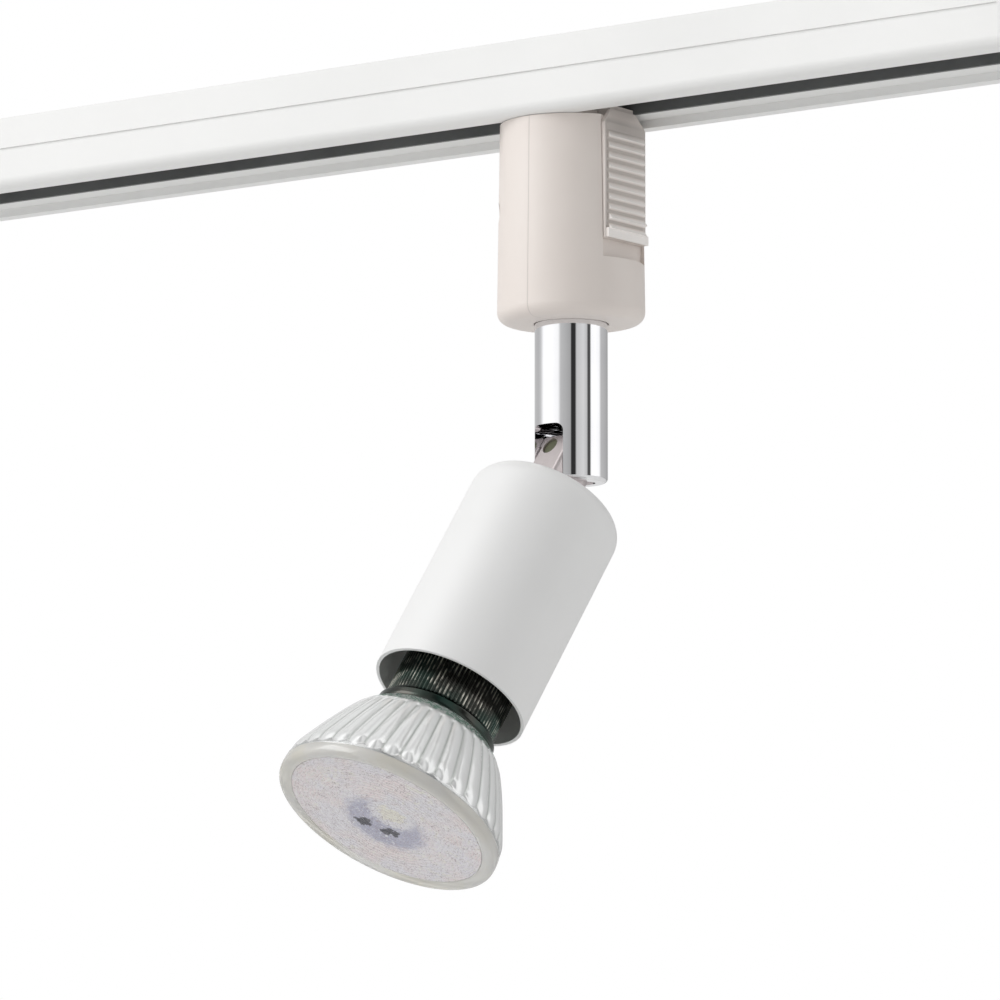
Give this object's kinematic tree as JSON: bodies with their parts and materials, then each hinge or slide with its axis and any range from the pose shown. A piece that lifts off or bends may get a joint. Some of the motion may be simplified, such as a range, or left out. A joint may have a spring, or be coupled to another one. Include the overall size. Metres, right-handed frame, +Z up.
{
  "type": "track lighting fixture",
  "caption": "Ceiling track with a plug-in round adapter, chrome neck and a small white swivelling spot head holding a glass reflector LED lamp.",
  "frame": {"origin": "middle of the track's flat top, where it meets the ceiling", "axes": "+Z up out of the ceiling face, +X along the track, the head leans out towards -Y"},
  "size_m": [0.336, 0.0904, 0.1856],
  "materials": {
    "rail_white": "satin white paint",
    "liner_grey": "matt",
    "copper": "bright copper",
    "cap_white": "fine matt",
    "adapter_cream": "satin moulded",
    "insulator_cream": "matt",
    "brass_contact": "bright",
    "steel": "zinc plated",
    "spring_steel": "bright wire",
    "lead_clear": "satin insulation",
    "neck_chrome": "mirror",
    "tongue_zinc": "fine cast and brushed",
    "sleeve_olive": "matt",
    "shade_white": "satin white powder coat",
    "ceramic_white": "unglazed ceramic",
    "lamp_plastic": "matt",
    "lamp_dark": "glossy",
    "pin_nickel": "nickel",
    "bowl_glass": "clear fluted",
    "bezel_clear": "clear gloss",
    "lens_clear": "fine prismatic",
    "led_board": "white solder mask",
    "led_yellow": "phosphor",
    "dome_clear": "clear",
    "board_green": "satin",
    "part_black": "matt",
    "column_metal": "turned"
  },
  "bodies": {
    "track": {"rail_channel": "rail_white", "rail_liner_front": "liner_grey", "rail_liner_back": "liner_grey", "conductor_front": "copper", "conductor_back": "copper", "end_cap_left": "cap_white", "end_cap_right": "cap_white"},
    "adapter": {"adapter_shell_left": "adapter_cream", "adapter_shell_right": "adapter_cream", "adapter_screws": "steel", "plug_head": "insulator_cream", "contact_live": "brass_contact", "contact_neutral": "brass_contact", "adapter_leads": "lead_clear", "lock_spring": "spring_steel"},
    "slider": {"release_slider": "adapter_cream"},
    "neck": {"neck_tube": "neck_chrome", "pivot_screw": "steel", "swivel_washer": "steel", "stop_washer": "steel", "neck_nut": "steel", "neck_leads": "lead_clear"},
    "head": {"tongue": "tongue_zinc", "wire_sleeve": "sleeve_olive", "head_leads": "lead_clear", "shade": "shade_white", "holder_bracket": "steel", "tongue_washer": "steel", "tongue_nut": "steel", "lampholder": "ceramic_white", "holder_contacts": "brass_contact", "holder_screws": "steel"},
    "lamp": {"lamp_base": "lamp_plastic", "lamp_pins": "pin_nickel", "lamp_neck": "lamp_dark", "lamp_glass": "bowl_glass", "lamp_bezel": "bezel_clear", "lamp_lens": "lens_clear", "led_board": "led_board", "led_chip": "led_yellow", "led_dome": "dome_clear", "heat_column": "column_metal", "driver_board": "board_green", "driver_parts": "part_black"}
  },
  "joints": [
    {"name": "track_slide", "type": "slide", "parent": "track", "child": "adapter", "axis": [1, 0, 0], "range_m": [-0.195, 0.105]},
    {"name": "release_slide", "type": "slide", "parent": "adapter", "child": "slider", "axis": [0, 0, -1], "range_m": [0, 0.0038], "stiffness_N_per_m": 400, "springref_m": -0.003, "deforming": ["lock_spring"]},
    {"name": "neck_swivel", "type": "hinge", "parent": "adapter", "child": "neck", "pos_m": [0.045, 0, -0.0591], "axis": [0, 0, 1], "range_deg": [-160, 183]},
    {"name": "head_tilt", "type": "hinge", "parent": "neck", "child": "head", "pos_m": [0.045, 0, -0.0911], "axis": [-0.9799, 0.1994, 0], "range_deg": [-33.3, 56.7]},
    {"name": "lamp_twist", "type": "hinge", "parent": "head", "child": "lamp", "pos_m": [0.045, 0, -0.0911], "axis": [-0.1095, -0.538, -0.8358], "range_deg": [0, 30]}
  ]
}
